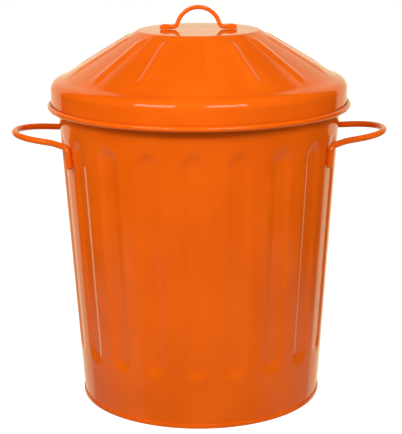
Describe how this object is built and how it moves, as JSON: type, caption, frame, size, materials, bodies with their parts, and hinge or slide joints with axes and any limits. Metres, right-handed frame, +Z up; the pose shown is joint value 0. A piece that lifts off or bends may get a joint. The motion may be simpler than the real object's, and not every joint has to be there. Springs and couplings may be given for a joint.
{
  "type": "lidded metal dustbin",
  "caption": "Round painted steel dustbin with a tapered fluted wall, wire side handles and a loose ridged dome lid with a swinging wire handle.",
  "frame": {"origin": "centre of the floor plane under the bin, on the bin's axis", "axes": "+Z up along the bin's axis, +X towards the right-hand side handle, -Y towards the front; the lid handle's wire lies along X"},
  "size_m": [0.3616, 0.29, 0.3803],
  "materials": {
    "orange_paint": "high-gloss orange stove enamel or powder coat over sheet steel and wire",
    "bare_steel": "plain drawn steel wire, hidden inside the rolled edges"
  },
  "bodies": {
    "can": {"body_shell": "orange_paint", "rim_wire": "bare_steel", "bottom_pan": "orange_paint", "left_side_handle": "orange_paint", "right_side_handle": "orange_paint", "left_handle_welds": "orange_paint", "right_handle_welds": "orange_paint"},
    "lid": {"lid_shell": "orange_paint", "lid_bead_wire": "bare_steel", "left_handle_clip": "orange_paint", "right_handle_clip": "orange_paint", "clip_spot_welds": "orange_paint"},
    "lid_handle": {"lid_handle": "orange_paint"}
  },
  "joints": [
    {"name": "lid_lift", "type": "slide", "parent": "can", "child": "lid", "axis": [0, 0, 1], "range_m": [0, 0.12]},
    {"name": "lid_handle_swing", "type": "hinge", "parent": "lid", "child": "lid_handle", "pos_m": [0, 0, 0.35974], "axis": [1, 0, 0], "range_deg": [-88, 88]}
  ]
}
